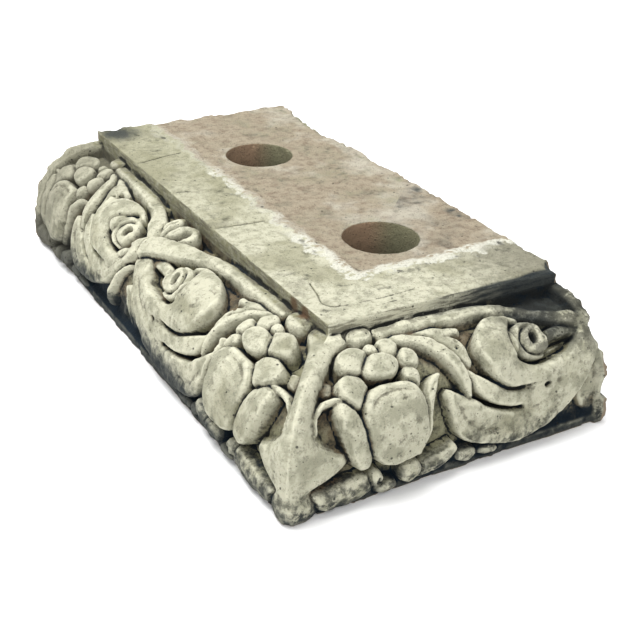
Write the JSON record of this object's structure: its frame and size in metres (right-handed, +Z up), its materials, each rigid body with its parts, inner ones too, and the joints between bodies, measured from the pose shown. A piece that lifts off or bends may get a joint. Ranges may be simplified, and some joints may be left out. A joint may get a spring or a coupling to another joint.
{
  "type": "ornamental frieze brick",
  "caption": "Corner frieze block with two curved faces carved with scrolls, leaves and seed pods, a raised flat bed on top and round core holes through it.",
  "frame": {"origin": "centre of the block's footprint, on its underside", "axes": "+Z up out of the raised bed, +Y along the long side away from the short carved face, +X away from the long carved face"},
  "size_m": [0.2228, 0.4158, 0.081],
  "materials": {
    "weathered_terracotta": "matt fired clay with a worn cream slip, dark dirt in the hollows and a pink clay bed"
  },
  "bodies": {
    "root": {"frieze_block": "weathered_terracotta"}
  },
  "joints": []
}
